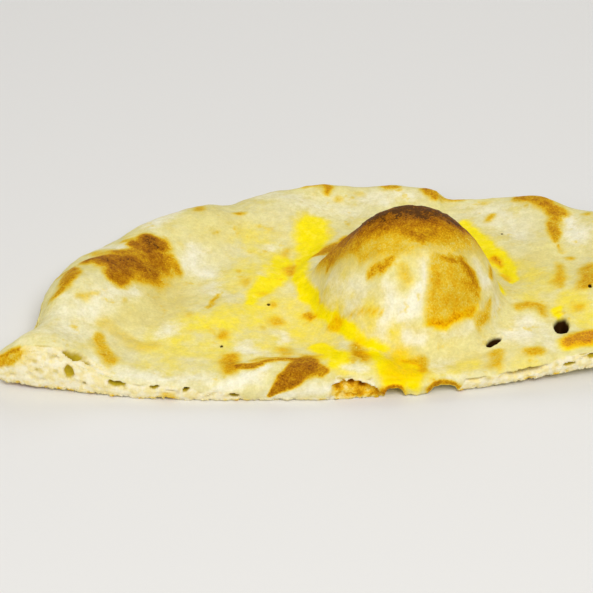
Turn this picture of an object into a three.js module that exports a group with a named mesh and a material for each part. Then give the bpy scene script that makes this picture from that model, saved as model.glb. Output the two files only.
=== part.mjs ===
// Half of a round naan, a leavened flatbread baked on an oven wall and cut across its middle.
// It is one solid: a thin slab with a puffed rim, a large steam blister and slightly curled ends.
// Lengths are in millimetres. The plan is drawn with +X along the cut and +Y towards the round
// back, and +Z is up. The finished solid is moved so that its box stands centred on the origin.

import * as THREE from "three";

// Driving dimensions
const CRUMB_THICKNESS = 6.4;
const RIM_ROUNDING = 7; // least distance over which the rim rounds off
const RIM_FULLNESS = 0.62; // the same distance on thick rims, as a share of their thickness
const RIM_MIDDLE = 0.42; // height of the rim's outermost line, as a share of its thickness
const CUT_BULGE = 0.9; // how far the cut face swells past the cut edge

// The baked edge in plan, from the left tip round the back to the right tip.
const RIM_POINTS = [
  [-131, 4],
  [-125, 10],
  [-119, 16.5],
  [-116, 24],
  [-116, 40],
  [-113, 57],
  [-103.5, 73.5],
  [-87, 92],
  [-69, 107],
  [-55, 112],
  [-41.5, 120.5],
  [-24, 124.5],
  [-6, 124],
  [8, 126],
  [19, 123],
  [25, 116],
  [38, 114.5],
  [53, 111.5],
  [69, 101.5],
  [87, 87],
  [104, 68],
  [116, 47],
  [122, 30],
  [126, 18],
];

// The cut edge in plan, between the same two tips.
const CUT_POINTS = [
  [-131, 4],
  [-105, -0.5],
  [-75, -4.5],
  [-40, -5],
  [-10, -4],
  [25, 1],
  [65, 9],
  [100, 14.5],
  [126, 18],
];

// Swellings of the upper crust. along and across are the half-widths of a soft oval, turn is the
// direction of its long side in degrees from +X, and rise is its height.
const SWELLINGS = [
  { x: -101, y: 41, along: 32, across: 17, turn: 62, rise: 12 }, // rolled rim on the left
  { x: -84, y: 76, along: 18, across: 13, turn: 48, rise: 4.5 },
  { x: -63, y: 91, along: 16, across: 15, turn: 25, rise: 5.5 },
  { x: -38, y: 103, along: 14, across: 12, turn: 20, rise: 4 },
  { x: -23, y: 117, along: 8, across: 6, turn: 0, rise: 3 },
  { x: 5, y: 117, along: 9, across: 6, turn: 0, rise: 3 },
  { x: 15, y: 114, along: 6, across: 6, turn: 0, rise: 2 },
  { x: 53, y: 103, along: 10, across: 9, turn: -20, rise: 3.5 },
  { x: 77, y: 83, along: 20, across: 11, turn: -42, rise: 3.5 },
  { x: 102, y: 50, along: 24, across: 13, turn: -66, rise: 7 }, // rolled rim on the right
  { x: -112, y: 5, along: 16, across: 10, turn: -12, rise: 6.5 }, // puffed left tip
  { x: 112, y: 26, along: 13, across: 9, turn: -35, rise: 3.5 }, // puffed right tip
  { x: -38, y: 3, along: 25, across: 8, turn: 2, rise: 3 }, // long blister at the cut edge
  { x: -8, y: 4, along: 11, across: 7, turn: 0, rise: 2.4 },
  { x: 43, y: 13, along: 12, across: 7, turn: 10, rise: 1.6 },
  { x: 70, y: 42, along: 16, across: 12, turn: 30, rise: 2 },
  { x: -62, y: 34, along: 18, across: 12, turn: 40, rise: 1.5 },
  { x: 3, y: 82, along: 20, across: 9, turn: 0, rise: 2 },
];

// Hollows of the upper crust, in the same terms.
const HOLLOWS = [
  { x: -66, y: 58, along: 24, across: 9, turn: 60, rise: -2.2 }, // valley beside the left rim
  { x: -28, y: 76, along: 12, across: 14, turn: 90, rise: -1.8 }, // beside the large blister
  { x: -33, y: 30, along: 14, across: 10, turn: 130, rise: -1.6 },
  { x: 36, y: 62, along: 24, across: 7, turn: -55, rise: -1.8 },
  { x: 62, y: 66, along: 14, across: 10, turn: 10, rise: -1.4 },
  { x: 10, y: 8, along: 18, across: 6, turn: 8, rise: -1.5 },
  { x: 84, y: 24, along: 14, across: 9, turn: 20, rise: -1.6 },
];

// The large steam blister, close to a hemisphere.
const BLISTER = {
  x: 5.5,
  y: 43,
  radius: 30.5,
  height: 34,
  foot: 3.4, // softness of the crease round its base
  gather: 27, // flat crust within this distance becomes the blister's wall
  reach: 40, // flat crust within this distance is drawn towards it
  evenness: 0.32, // keeps the mesh from crowding at the foot of the wall
};

// The underside lies flat between these two lines, and both ends curl up beyond them.
const CURL_LEFT = { from: -62, over: 69, rise: 2.2 };
const CURL_RIGHT = { from: 8, over: 118, rise: 11 };

// Ribs cross the bread from the cut to the rim, and each rib is one closed loop of points.
const RIBS = 88;
const CUT_ROWS = 4;
const TOP_ROWS = 44;
const UNDER_ROWS = 12;
const TOP_CROWDING = 1.25; // rows draw together towards the rim, where the crust curves most
const UNDER_CROWDING = 1.5;

const clamp = THREE.MathUtils.clamp;

// Height of a soft oval at a point in plan.
function oval(shape, x, y) {
  const turn = THREE.MathUtils.degToRad(shape.turn);
  const dx = x - shape.x;
  const dy = y - shape.y;
  const u = (dx * Math.cos(turn) + dy * Math.sin(turn)) / shape.along;
  const v = (dy * Math.cos(turn) - dx * Math.sin(turn)) / shape.across;
  return shape.rise * Math.exp(-(u * u + v * v));
}

// How far the bread is lifted off its flat at a distance along the cut.
function curl(x) {
  const left = clamp((CURL_LEFT.from - x) / CURL_LEFT.over, 0, 1.2);
  const right = clamp((x - CURL_RIGHT.from) / CURL_RIGHT.over, 0, 1.2);
  return CURL_LEFT.rise * left ** 2 + CURL_RIGHT.rise * right ** 1.5;
}

// Slow uneven waves of hand-stretched dough.
function waves(x, y) {
  return (
    0.5 * Math.sin(x / 15 + 0.6 * Math.sin(y / 19) + 1.3) * Math.sin(y / 12 + 0.4) +
    0.35 * Math.sin(x / 8.5 - y / 23 + 2.1) * Math.sin(y / 9 + x / 31)
  );
}

function thickness(x, y) {
  const raised = [...SWELLINGS, ...HOLLOWS].reduce((sum, shape) => sum + oval(shape, x, y), 0);
  return CRUMB_THICKNESS + raised + waves(x, y);
}

// Moves a point of flat crust onto the large blister: drawn together in plan, and raised.
function blister(x, y) {
  const dx = x - BLISTER.x;
  const dy = y - BLISTER.y;
  const distance = Math.hypot(dx, dy);
  if (distance === 0) return { x, y, rise: BLISTER.height };
  if (distance > BLISTER.reach) return { x, y, rise: 0 };
  const angle = (Math.PI / 2) * (distance / BLISTER.gather);
  const wall = BLISTER.height * Math.cos(angle);
  const rise = BLISTER.foot * Math.log1p(Math.exp(wall / BLISTER.foot));
  const even = distance / BLISTER.gather;
  const onWall = BLISTER.radius * THREE.MathUtils.lerp(Math.sin(angle), even, BLISTER.evenness);
  const beyond = (distance - BLISTER.gather) / (BLISTER.reach - BLISTER.gather);
  const onFlat = THREE.MathUtils.lerp(BLISTER.radius, BLISTER.reach, beyond);
  const share = (distance < BLISTER.gather ? onWall : onFlat) / distance;
  return { x: BLISTER.x + dx * share, y: BLISTER.y + dy * share, rise };
}

const rimCurve = new THREE.SplineCurve(RIM_POINTS.map(([x, y]) => new THREE.Vector2(x, y)));
const cutCurve = new THREE.SplineCurve(CUT_POINTS.map(([x, y]) => new THREE.Vector2(x, y)));
const rimLine = rimCurve.getSpacedPoints(400);

function distanceToRim(x, y) {
  return Math.sqrt(Math.min(...rimLine.map((p) => (p.x - x) ** 2 + (p.y - y) ** 2)));
}

// The upper and lower crust at a point in plan. Near the rim both close onto its outermost line.
function crust(x, y) {
  const full = thickness(x, y);
  const width = Math.max(RIM_ROUNDING, RIM_FULLNESS * full);
  const inward = clamp(distanceToRim(x, y) / width, 0, 1);
  const round = Math.sqrt(1 - (1 - inward) ** 2);
  const middle = RIM_MIDDLE * full;
  const lifted = blister(x, y);
  return {
    top: new THREE.Vector3(lifted.x, lifted.y, curl(x) + middle + (full - middle) * round + lifted.rise),
    under: new THREE.Vector3(x, y, curl(x) + middle * (1 - round)),
  };
}

// Place of a rib along the cut: half way between even steps and steps that shorten to the tips.
function ribPlace(t) {
  const shortening = 0.5 - 0.5 * Math.cos(Math.PI * t);
  return (t + shortening) / 2;
}

// One closed loop: up the cut face, over the top to the rim, and back along the underside.
function rib(t) {
  const cut = cutCurve.getPointAt(ribPlace(t));
  const rim = rimCurve.getPointAt(t);
  const at = (share) => new THREE.Vector2().lerpVectors(cut, rim, share);
  const front = crust(cut.x, cut.y);
  const loop = [];
  for (let row = 0; row < CUT_ROWS; row++) {
    const share = row / CUT_ROWS;
    const point = new THREE.Vector3().lerpVectors(front.under, front.top, share);
    point.y -= CUT_BULGE * Math.sin(Math.PI * share);
    loop.push(point);
  }
  for (let row = 0; row <= TOP_ROWS; row++) {
    const share = row / TOP_ROWS;
    const place = at(1 - (1 - share) ** TOP_CROWDING);
    loop.push(crust(place.x, place.y).top);
  }
  for (let row = UNDER_ROWS - 1; row > 0; row--) {
    const share = row / UNDER_ROWS;
    const place = at(1 - (1 - share) ** UNDER_CROWDING);
    loop.push(crust(place.x, place.y).under);
  }
  return loop;
}

function tip(plan) {
  const middle = crust(plan.x, plan.y).under;
  return new THREE.Vector3(plan.x, plan.y, middle.z);
}

// Skins the ribs with triangles, and closes each tip with a fan.
function breadGeometry() {
  const loops = [];
  for (let i = 1; i < RIBS; i++) loops.push(rib(i / RIBS));
  const size = loops[0].length;
  const points = loops.flat();
  const leftTip = points.push(tip(rimCurve.getPointAt(0))) - 1;
  const rightTip = points.push(tip(rimCurve.getPointAt(1))) - 1;
  const faces = [];
  const last = (loops.length - 1) * size;
  for (let j = 0; j < size; j++) {
    const next = (j + 1) % size;
    for (let i = 0; i + 1 < loops.length; i++) {
      const here = i * size;
      const there = here + size;
      faces.push(here + j, there + j, there + next, here + j, there + next, here + next);
    }
    faces.push(leftTip, j, next);
    faces.push(rightTip, last + next, last + j);
  }
  const geometry = new THREE.BufferGeometry().setFromPoints(points);
  geometry.setIndex(faces);
  return geometry;
}

function standOnOrigin(geometry) {
  geometry.computeBoundingBox();
  const { min, max } = geometry.boundingBox;
  return geometry.translate(-(min.x + max.x) / 2, -(min.y + max.y) / 2, -min.z);
}

const bread = new THREE.Mesh(
  standOnOrigin(breadGeometry()),
  new THREE.MeshStandardMaterial({ color: 0xe3d28c, roughness: 0.62, metalness: 0 }),
);
bread.name = "naan_bread";

const naan = new THREE.Group();
naan.add(bread);

export default naan;
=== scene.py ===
"""Half of a round naan, cut side to the front, on a plain pale table under soft studio light.

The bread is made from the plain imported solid: its surface is refined, the crumb, holes and skin are
shaped in millimetres, and the bake is painted as soft patches that one material turns into colour.
"""

import math

import bmesh
import bpy
import numpy as np
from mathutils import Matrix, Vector


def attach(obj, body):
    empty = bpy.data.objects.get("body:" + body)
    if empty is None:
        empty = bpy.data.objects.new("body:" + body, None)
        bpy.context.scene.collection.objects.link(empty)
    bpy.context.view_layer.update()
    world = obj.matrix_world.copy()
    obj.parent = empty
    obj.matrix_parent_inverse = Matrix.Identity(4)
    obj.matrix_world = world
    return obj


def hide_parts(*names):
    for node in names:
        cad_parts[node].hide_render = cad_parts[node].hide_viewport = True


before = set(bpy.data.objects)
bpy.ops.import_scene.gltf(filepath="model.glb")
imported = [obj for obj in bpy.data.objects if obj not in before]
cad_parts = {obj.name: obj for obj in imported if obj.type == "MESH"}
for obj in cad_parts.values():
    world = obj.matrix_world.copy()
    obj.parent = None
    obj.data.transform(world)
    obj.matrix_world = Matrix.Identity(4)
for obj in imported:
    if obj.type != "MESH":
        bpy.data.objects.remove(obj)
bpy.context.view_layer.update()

MM = 0.001

# The large blister stands on the crust at this place. Lengths from here on are in millimetres.
BLISTER = {"x": 8.0, "y": -17.0, "radius": 30.5, "height": 34.0, "foot": 6.4}
BLISTER_ARC = 50.0  # from its top down to its foot, along its wall

CUT_BULGE = 0.9  # how far the cut face swells in front of its edges
CUT_SLICE = 1.5  # the cut is measured in slices of this width
SKIN_LEVELS = 2  # how often the whole surface is subdivided
FLAT_UNDER = 0.05  # points below this height lie on the table

# The table, the camera and the lights, in metres. The camera's aim is in millimetres.
TABLE_HALF = 3.0
CAMERA_AIM = (-29.5, -16.0, 8.0)
CAMERA_AWAY = 0.6582
CAMERA_DOWN = 32  # degrees
CAMERA_LENS = 120
SKY_STRENGTH = 0.35
LIGHT_AIM = (0, 0, 0.01)
LIGHTS = [
    ("key", (0.30, -0.80, 0.95), 0.7, 8.9),
    ("fill", (-0.8, -0.5, 0.6), 0.8, 2.8),
    ("back", (0.1, 0.9, 0.8), 0.8, 3.0),
]


# ----------------------------------------------------------
# Smooth randomness and soft shapes


def drift(points, size, seed):
    """Smooth random values, mostly from -1 to 1, that change over a size. A seed is a pattern."""
    chance = np.random.default_rng(seed)
    shuffle = chance.permutation(256)
    slopes = chance.normal(size=(256, 3))
    slopes /= np.linalg.norm(slopes, axis=1, keepdims=True)
    place = points / size + 500.0
    cell = np.floor(place).astype(int)
    inside = place - cell
    fade = inside**3 * (inside * (inside * 6 - 15) + 10)
    total = np.zeros(len(points))
    for corner in np.ndindex(2, 2, 2):
        key = cell + corner
        pick = shuffle[(key[:, 0]) & 255]
        pick = shuffle[(pick + key[:, 1]) & 255]
        pick = shuffle[(pick + key[:, 2]) & 255]
        value = (slopes[pick] * (inside - corner)).sum(axis=1)
        total += value * np.prod(np.where(corner, fade, 1 - fade), axis=1)
    return total * 1.7


def step(value, low, high):
    """0 below low, 1 above high, and smooth between. low may be the larger one."""
    t = np.clip((value - low) / (high - low), 0, 1)
    return t * t * (3 - 2 * t)


def radial(u, v, x, y, along, across, turn=0.0):
    """Distance from the middle of a turned oval, as a share of its half-widths."""
    angle = math.radians(turn)
    du, dv = u - x, v - y
    p = (du * math.cos(angle) + dv * math.sin(angle)) / along
    q = (dv * math.cos(angle) - du * math.sin(angle)) / across
    return np.hypot(p, q)


def stroke(u, v, points, blur):
    """1 along a bent line of changing half-width, fading to 0 across its blurred edge."""
    best = np.zeros(len(u))
    for (x0, y0, half0), (x1, y1, half1) in zip(points, points[1:] or points):
        dx, dy = x1 - x0, y1 - y0
        along = ((u - x0) * dx + (v - y0) * dy) / max(dx * dx + dy * dy, 0.01)
        along = np.clip(along, 0, 1)
        half = half0 + along * (half1 - half0)
        away = np.hypot(u - x0 - along * dx, v - y0 - along * dy)
        soft = blur * (0.4 + 0.25 * half)
        best = np.maximum(best, step(half - away, -soft, soft))
    return best


def strongest(u, v, patches, blur=1.8):
    """The strongest of several strokes, each with its own strength, at each place."""
    best = np.zeros(len(u))
    for strength, points in patches:
        best = np.maximum(best, strength * stroke(u, v, points, blur))
    return best


# ----------------------------------------------------------
# The fine surface


def four_sided_copy(node):
    """A merged copy of the plain solid with its triangles joined into four-sided faces."""
    body = bmesh.new()
    body.from_mesh(node.data)
    bmesh.ops.remove_doubles(body, verts=body.verts, dist=1e-6)
    bmesh.ops.join_triangles(
        body,
        faces=body.faces,
        angle_face_threshold=math.pi,
        angle_shape_threshold=math.pi,
    )
    return body


def front_line(x, y, spacing):
    """The foremost y at any place along the cut, as a function of x."""
    middles, fronts = [], []
    for left in np.arange(x.min(), x.max(), spacing):
        near = np.flatnonzero((x >= left) & (x < left + spacing))
        if len(near):
            foremost = near[y[near].argmin()]
            middles.append(x[foremost])
            fronts.append(y[foremost])
    return lambda places: np.interp(places, middles, fronts)


def mark_cut(body):
    """Flags the faces of the cut, and keeps their edges crisp where the crumb is open."""
    places = np.array([v.co for v in body.verts]) / MM
    front = front_line(places[:, 0], places[:, 1], 4.0)
    behind = places[:, 1] - front(places[:, 0])
    body.verts.index_update()
    cut = body.faces.layers.int.new("cut")
    crease = body.edges.layers.float.new("crease_edge")
    for face in body.faces:
        near = all(behind[v.index] < CUT_BULGE + 0.4 for v in face.verts)
        face[cut] = int(near and face.normal.y < -0.5)
    for edge in body.edges:
        if len(edge.link_faces) == 2:
            sides = sum(face[cut] for face in edge.link_faces)
            if sides == 1:
                x = (edge.verts[0].co.x + edge.verts[1].co.x) / 2 / MM
                edge[crease] = 0.9 - 0.5 * float(rolled_skin(np.array([x]))[0])


def refine(body, levels):
    """Subdivides the whole body smoothly and returns it as a plain mesh."""
    mesh = bpy.data.meshes.new("naan_bread_skin")
    body.to_mesh(mesh)
    body.free()
    maker = in_scene("refining", mesh)
    modifier = maker.modifiers.new("smooth", "SUBSURF")
    modifier.levels = levels
    modifier.render_levels = levels
    modifier.boundary_smooth = "ALL"
    fine = plain_mesh(maker)
    bpy.data.objects.remove(maker)
    return fine


def in_scene(name, data):
    """A new object in the scene."""
    made = bpy.data.objects.new(name, data)
    bpy.context.scene.collection.objects.link(made)
    return made


def plain_mesh(maker):
    """The evaluated shape of an object as a mesh with no modifiers."""
    graph = bpy.context.evaluated_depsgraph_get()
    return bpy.data.meshes.new_from_object(maker.evaluated_get(graph), depsgraph=graph)


def refine_details(mesh):
    """Adds finer faces on the cut and round the holes, where the shape is smallest."""
    body = bmesh.new()
    body.from_mesh(mesh)
    cut = body.faces.layers.int["cut"]
    across = set()
    for face in body.faces:
        if face[cut]:
            for edge in face.edges:
                run = edge.verts[1].co - edge.verts[0].co
                if abs(run.x) > abs(run.z) and len(edge.link_faces) == 2:
                    across.add(edge)
    bmesh.ops.subdivide_edges(body, edges=list(across), cuts=1, use_grid_fill=True)
    for x, y, along, *_ in HOLES + PINHOLES:
        reach = 1.5 * along + 0.6
        near = set()
        for face in body.faces:
            middle = face.calc_center_median() / MM
            away = math.hypot(middle.x - x, middle.y - y)
            if away < reach and face.normal.z > 0.2:
                near.update(face.edges)
        bmesh.ops.subdivide_edges(body, edges=list(near), cuts=2, use_grid_fill=True)
    body.to_mesh(mesh)
    body.free()


def read(items, name, width=1, kind=float):
    """One value, or a row of values, from each item of a mesh."""
    values = np.empty(len(items) * width, dtype=kind)
    items.foreach_get(name, values)
    return values.reshape(-1, width) if width > 1 else values


class Surface:
    """The places of all points of the bread in millimetres, and what is known of each."""

    def __init__(self, mesh):
        self.mesh = mesh
        self.points = read(mesh.vertices, "co", 3) / MM
        self.start = self.points.copy()
        self.normals = read(mesh.vertex_normals, "vector", 3)
        self.on_cut = self.touching("cut")
        self.x = self.start[:, 0]
        self.y = self.start[:, 1]
        self.z = self.start[:, 2]
        self.measure_cut()
        self.measure_blister()

    def touching(self, name):
        """1 for points whose faces all carry a flag, and less where only some do."""
        flags = read(self.mesh.attributes[name].data, "value", kind=np.int32)
        corners = read(self.mesh.loops, "vertex_index", kind=np.int32)
        totals = read(self.mesh.polygons, "loop_total", kind=np.int32)
        count = len(self.mesh.vertices)
        flagged = np.bincount(corners, weights=np.repeat(flags, totals), minlength=count)
        return flagged / np.bincount(corners, minlength=count)

    def measure_cut(self):
        """Height above the cut's lower edge, its full height, and distance behind the cut."""
        cut = np.flatnonzero(self.on_cut > 0)
        middles, low, high, edge = [], [], [], []
        for left in np.arange(self.x.min(), self.x.max(), CUT_SLICE):
            near = cut[(self.x[cut] >= left) & (self.x[cut] < left + CUT_SLICE)]
            if len(near) > 3:
                middles.append(left + CUT_SLICE / 2)
                low.append(self.z[near].min())
                high.append(self.z[near].max())
                edge.append(self.y[near[self.z[near].argmax()]])
        self.cut_low = np.interp(self.x, middles, low)
        self.cut_high = np.interp(self.x, middles, high)
        self.cut_edge = np.interp(self.x, middles, edge)
        self.up = self.z - self.cut_low
        self.share = np.clip(self.up / (self.cut_high - self.cut_low), 0, 1)
        self.behind = self.y - self.cut_edge
        # The skin's own coordinates run on down the cut, as if it were rolled flat.
        self.u = self.x
        self.v = np.where(self.on_cut > 0.6, self.cut_edge - (self.cut_high - self.z), self.y)
        self.from_edge = self.v - self.cut_edge
        skin_foot = 1 - rolled_skin(self.x) + 0.07 * drift(self.start, 2.2, 19)
        bare_face = step(self.share, skin_foot + 0.06, skin_foot - 0.06) * (self.on_cut > 0.3)
        torn_line = np.interp(self.x, *zip(*TORN_BACK)) + 0.5 * drift(self.start, 2.4, 20)
        self.past_skin = self.from_edge - torn_line
        upper = (self.normals[:, 2] > 0.1) & (self.on_cut < 0.6) & (torn_line > 0.6)
        self.torn_top = step(self.past_skin, 0.3, -0.3) * upper
        self.bare = np.maximum(bare_face, self.torn_top)

    def measure_blister(self):
        """Places on the blister, as distances from its top along its wall."""
        dx = self.x - BLISTER["x"]
        dy = self.y - BLISTER["y"]
        out = np.hypot(dx, dy)
        rise = np.maximum(self.z - BLISTER["foot"], 0)
        angle = np.arctan2(rise / BLISTER["height"], out / BLISTER["radius"])
        arc = BLISTER_ARC * (1 - angle / (math.pi / 2))
        self.wall_x = arc * dx / np.maximum(out, 0.01)
        self.wall_y = arc * dy / np.maximum(out, 0.01)
        near = step(out, BLISTER["radius"] + 4, BLISTER["radius"])
        self.on_blister = near * step(rise, 1.2, 4.5)
        self.on_top = step(self.normals[:, 2], -0.15, 0.25)
        self.below = step(self.normals[:, 2], -0.35, -0.75)

    def move(self, amount, direction=None):
        if direction is None:
            self.points += self.normals * amount[:, None]
        else:
            self.points += amount[:, None] * np.array(direction)

    def store(self):
        """Writes the places back to the mesh."""
        self.mesh.vertices.foreach_set("co", (self.points * MM).ravel())
        self.mesh.update()

    def paint(self, name, values):
        """Keeps one value for each point under a name that the material reads."""
        layer = self.mesh.attributes.new(name, "FLOAT", "POINT")
        layer.data.foreach_set("value", np.clip(values, 0, 1).astype(np.float32))


# ----------------------------------------------------------
# Holes, crumb and torn edges


# Steam holes: place, half-widths, turn in degrees, depth, and height of the lip.
HOLES = [
    (56.5, -35.2, 2.8, 5.7, -6, 5.4, 0.3),
    (34.0, -42.2, 4.0, 1.9, 52, 3.6, 0.35),
]

PINHOLES = [
    (-38.8, -18.3, 0.62, 0.9, 0, 1.2, 0),
    (-53.6, -43.2, 0.6, 0.9, 0, 1.2, 0),
    (42.7, 25.9, 0.45, 0.9, 0, 1.0, 0),
    (68.0, -15.5, 0.7, 1.5, 0, 1.4, 0),
    (98.0, 2.0, 0.6, 0.7, 0, 1.0, 0),
    (-6.0, 36.0, 0.5, 0.6, 0, 1.0, 0),
]

# Bubbles that the knife opened: place along the cut, height above its lower edge, half-width,
# half-height, depth, and the slant of the bubble in degrees.
OPEN_BUBBLES = [
    (-105.6, 12.2, 2, 1.2, 0.9, 40),
    (-100.8, 7.4, 1.9, 2.3, 1.9, 12),
    (-111.2, 6.8, 0.5, 0.5, 0.9, 0),
    (-113.6, 4.6, 1.3, 0.7, 0.5, 0),
    (-96.1, 3.8, 0.8, 0.8, 1, 0),
    (-85.8, 5.2, 2.6, 1.5, 2.4, -6),
    (-74.2, 4.9, 1.5, 0.9, 3, 8),
    (-78.6, 5.2, 2.6, 0.5, 0.8, 4),
    (-64.1, 4.4, 1.2, 0.9, 3.4, 40),
    (-58.2, 5, 2.6, 0.4, 1.2, 4),
    (-49.2, 2.4, 1.7, 0.8, 2.6, -10),
    (-69, 3.6, 2.2, 0.35, 0.7, 0),
    (57, 3.4, 2.4, 0.8, 1.8, 0),
    (66, 4.6, 3, 0.9, 2.4, 0),
    (78, 4.2, 3.4, 1.3, 3.2, 5),
    (90, 6.4, 2.4, 1.3, 2.8, 0),
    (98, 3.8, 1.7, 0.9, 1.8, 0),
    (107, 7.2, 3, 1.5, 3, 8),
    (116, 5, 1.7, 1, 2, 0),
]

# The same where the skin is torn off the top, with its place given in plan.
TORN_BUBBLES = [
    (-99.6, -57.6, 3, 2.3, 2.2, -4),
    (-95.4, -58.6, 2, 0.9, 1.2, -12),
    (-106.4, -58.9, 1.6, 0.9, 0.6, 30),
    (-111, -58.2, 1.8, 0.7, 0.4, 10),
]

# Small bubbles strewn along the whole cut, with their half-widths.
SMALL_BUBBLES = {"count": 130, "left": -122, "right": 125, "least": 0.26, "spread": 0.5}

# Slits just under the skin, where it parted from the crumb: from, to, height, depth.
LIP_SLITS = [
    (22.5, 30.5, 1.3, 2.2),
    (35, 50.5, 2, 3.6),
    (60, 69, 1, 2),
    (84, 93, 1.2, 2.2),
]

TORN_POCKET = {"x": -10.5, "up": 2.2, "half_wide": 8.8, "half_tall": 3.6, "deep": 4, "slant": -12}

# Arches where the lower crust lifts off the table: place along the cut, half-width, rise.
ARCHES = [(1.4, 3.0, 3.2), (16.8, 4.4, 2.9), (-70.0, 3.4, 0.9), (86.0, 4.0, 1.4)]

# Stretches where the skin rolls down over the cut: from, to, and how far down it reaches.
ROLLED = [
    (-131, -116.5, 0.42),
    (-92, -60, 0.2),
    (-62, -44, 0.45),
    (-48, -19, 0.86),
    (-4, 23, 1.1),
    (20, 52, 0.3),
]

# Where the skin tore off the top behind the cut: place along the cut, and how far back.
TORN_BACK = [(-118, 0), (-114, 1.8), (-109, 1.6), (-104, 3.2), (-97.5, 5), (-91, 3.2), (-86.5, 0)]

# Furrows pressed into the crust: a start, an end, the half-width and the depth.
FURROWS = [
    ((-52, -53.6), (-38, -51.6), 1.5, 0.6),
    ((-38, -51.6), (-28, -50.4), 1.3, 0.7),
    ((-58.6, -23), (-55.4, -14), 0.8, 0.5),
    ((38, 11), (41, 3), 1, 0.5),
    ((41, 1), (43.2, -5), 0.9, 0.45),
    ((-86, -41), (-70, -43), 2.4, 0.5),
    ((-72, -24), (-68, -2), 2.6, 0.5),
    ((60.6, 18), (61.6, 10), 0.8, 0.35),
    ((-35, -60.5), (-41, -66), 1, 0.35),
]


def rolled_skin(x):
    """How far down the cut the skin reaches, from 0 at its top to 1 at its foot."""
    reach = np.zeros(len(x))
    for start, end, far in ROLLED:
        inside = step(x, start - 2.5, start + 2.5) * step(x, end + 2.5, end - 2.5)
        reach = np.maximum(reach, far * inside)
    return reach


def open_bubbles(bread):
    """Depth of the larger bubbles, the slits and many small bubbles at each point of the cut."""
    x, up = bread.x, bread.up
    uneven = 1 + 0.30 * drift(bread.start, 1.7, 21)
    depth = np.zeros(len(x))
    for place, height, wide, tall, deep, slant in OPEN_BUBBLES:
        away = radial(x, up, place, height, wide, tall, slant) * uneven
        depth = np.maximum(depth, deep * np.sqrt(np.clip(1 - away**2, 0, 1)))
    for place, back, wide, long, deep, slant in TORN_BUBBLES:
        away = radial(x, bread.y, place, back, wide, long, slant) * uneven
        hollow = deep * np.sqrt(np.clip(1 - away**2, 0, 1)) * bread.torn_top
        depth = np.maximum(depth, hollow)
    small = SMALL_BUBBLES
    chance = np.random.default_rng(31)
    for _ in range(small["count"]):
        place = chance.uniform(small["left"], small["right"])
        height = chance.uniform(0.1, 0.9)
        size = small["least"] + small["spread"] * chance.random() ** 2.5
        near = np.flatnonzero(np.abs(x - place) < 3)
        tall = height * (bread.cut_high[near] - bread.cut_low[near])
        away = np.hypot((x[near] - place) / size / 1.8, (up[near] - tall) / size)
        pit = 0.9 * size * np.sqrt(np.clip(1 - away**2, 0, 1))
        depth[near] = np.maximum(depth[near], pit)
    return depth * bread.bare


def lip_slits(bread):
    """Depth of the long slits where the skin parted from the crumb."""
    depth = np.zeros(len(bread.x))
    uneven = 1 + 0.35 * drift(bread.start * (0.5, 1, 1), 1.8, 36)
    below_skin = bread.cut_high - bread.z
    for start, end, tall, deep in LIP_SLITS:
        middle, half = (start + end) / 2, (end - start) / 2
        away = radial(bread.x, below_skin, middle, tall + 0.5, half, tall) * uneven
        depth = np.maximum(depth, deep * np.clip(1 - away**2, 0, 1) ** 0.7)
    return depth * bread.bare


def torn_pocket(bread):
    """Depth of the pocket that is torn open in the middle of the cut."""
    pocket = TORN_POCKET
    uneven = 1 + 0.16 * drift(bread.start, 2.2, 33)
    size = (pocket["half_wide"], pocket["half_tall"], pocket["slant"])
    away = radial(bread.x, bread.up, pocket["x"], pocket["up"], *size)
    hollow = np.sqrt(np.clip(1 - (away * uneven) ** 2, 0, 1)) ** 0.7
    # It is deepest under the skin, and its floor is crumpled crust.
    line = pocket["up"] + (bread.x - pocket["x"]) * math.tan(math.radians(pocket["slant"]))
    under_skin = step(bread.up - line, -0.6, 2.2)
    depth = pocket["deep"] * hollow * (0.40 + 0.60 * under_skin)
    crumpled = 1.0 * drift(bread.start, 2.4, 34) + 0.7 * drift(bread.start, 1.1, 35)
    return np.maximum(depth + crumpled * step(depth, 0.4, 1.4), 0)


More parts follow.
